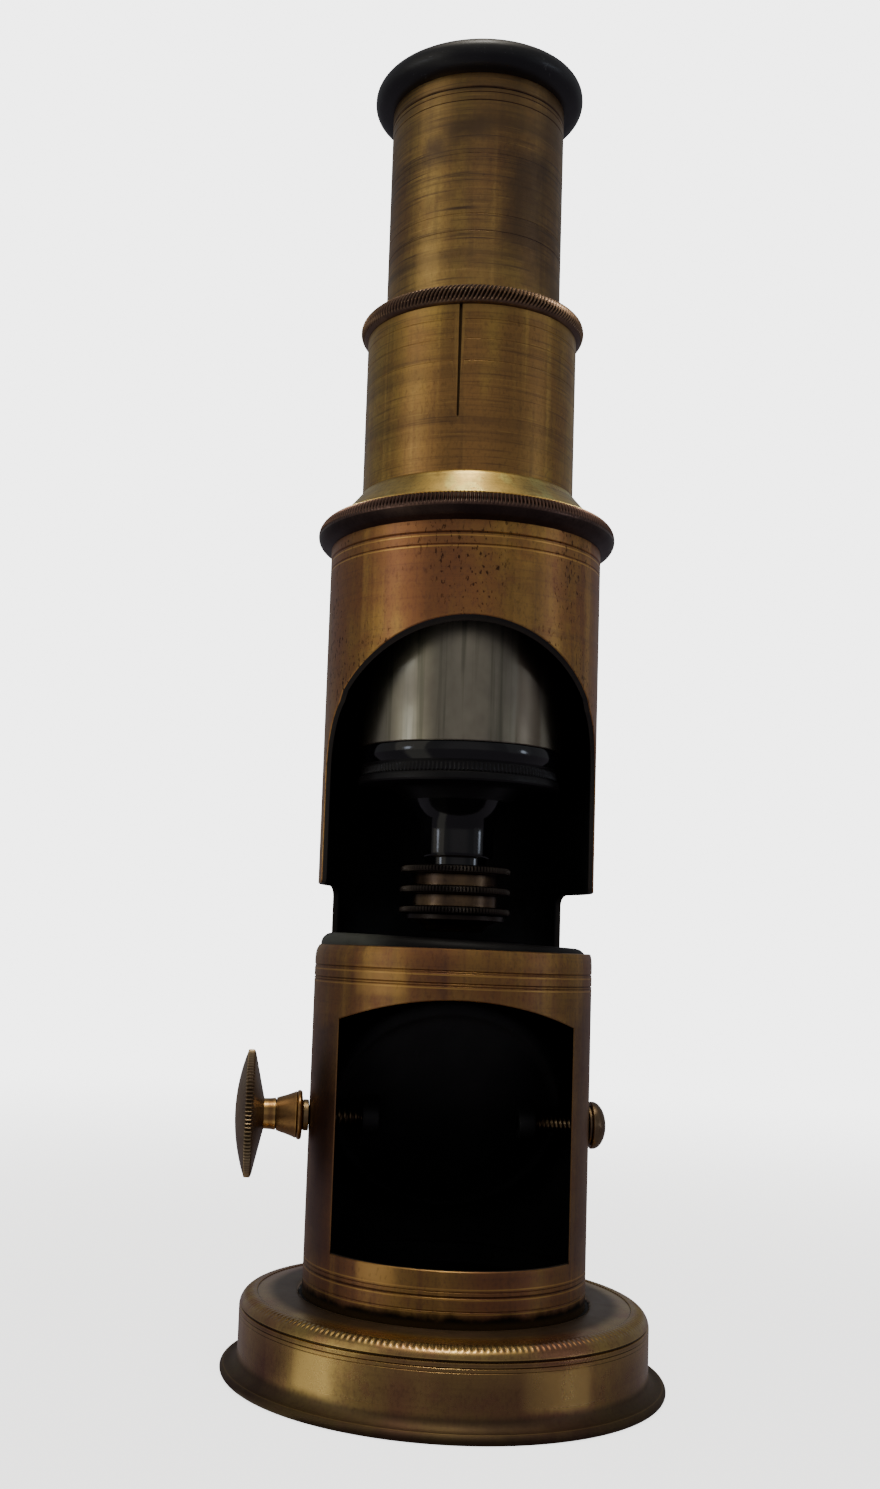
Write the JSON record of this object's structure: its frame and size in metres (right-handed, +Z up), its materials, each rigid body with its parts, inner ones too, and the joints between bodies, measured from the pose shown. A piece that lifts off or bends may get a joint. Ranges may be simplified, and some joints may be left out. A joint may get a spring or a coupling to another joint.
{
  "type": "drum microscope",
  "caption": "Free-standing drum microscope: telescoping brass tubes over a slotted drum with a tilting mirror on a weighted round foot.",
  "frame": {"origin": "centre of the underside of the round foot, on the tubes' common axis", "axes": "+Z up along the tubes; the mirror window and the objective window face -Y; the mirror knob is on the -X side"},
  "size_m": [0.0624, 0.0624, 0.192],
  "materials": {
    "foot_brass": "old lacquered brass, spun, golden where rubbed and brown at the edges",
    "drum_brass": "old lacquered brass, toned orange-brown with dark specks",
    "tube_brass": "old drawn brass, yellow-olive with fine rings and stains",
    "dull_brass": "dull turned brass",
    "knob_brass": "turned brass, brown on its face and bright in its neck",
    "black_paint": "matt black paint on brass",
    "black_lacquer": "black lacquer on turned brass, satin to gloss",
    "silvered_tube": "polished whitened brass, slightly tarnished",
    "lead": "cast lead filling",
    "mirror_glass": "silvered plate glass",
    "lens_glass": "ground and polished crown glass"
  },
  "bodies": {
    "stand": {"foot_shell": "foot_brass", "foot_ballast": "lead", "foot_base_plate": "foot_brass", "foot_spigot": "black_paint", "drum_tube": "drum_brass", "drum_top_ring": "dull_brass", "stage_plate": "black_paint", "collar": "drum_brass", "guide_sleeve": "tube_brass"},
    "mirror": {"mirror_cell": "black_paint", "mirror_glass": "mirror_glass", "mirror_ring": "dull_brass", "mirror_axle": "dull_brass", "axle_washer": "dull_brass", "knob_stem": "knob_brass", "mirror_knob": "knob_brass", "pivot_screw": "knob_brass", "pivot_washer": "dull_brass"},
    "optical_body": {"body_tube": "silvered_tube", "body_head": "tube_brass", "draw_bush": "dull_brass", "nosepiece": "black_lacquer", "body_diaphragm": "black_paint", "upper_objective_cell": "dull_brass", "upper_objective_lens": "lens_glass", "middle_objective_cell": "dull_brass", "middle_objective_lens": "lens_glass", "lower_objective_cell": "dull_brass", "lower_objective_lens": "lens_glass"},
    "eyepiece_draw": {"draw_tube": "tube_brass", "field_lens_cell": "black_paint", "field_lens": "lens_glass", "field_stop": "black_paint", "eyepiece_cap": "black_lacquer", "eye_lens_cell": "dull_brass", "eye_lens": "lens_glass", "eye_lens_ring": "dull_brass"}
  },
  "joints": [
    {"name": "body_focus", "type": "slide", "parent": "stand", "child": "optical_body", "axis": [0, 0, 1], "range_m": [0, 0.03]},
    {"name": "draw_slide", "type": "slide", "parent": "optical_body", "child": "eyepiece_draw", "axis": [0, 0, 1], "range_m": [-0.0333, 0.015]},
    {"name": "mirror_tilt", "type": "hinge", "parent": "stand", "child": "mirror", "pos_m": [0, 0, 0.0355], "axis": [1, 0, 0], "continuous": true}
  ]
}
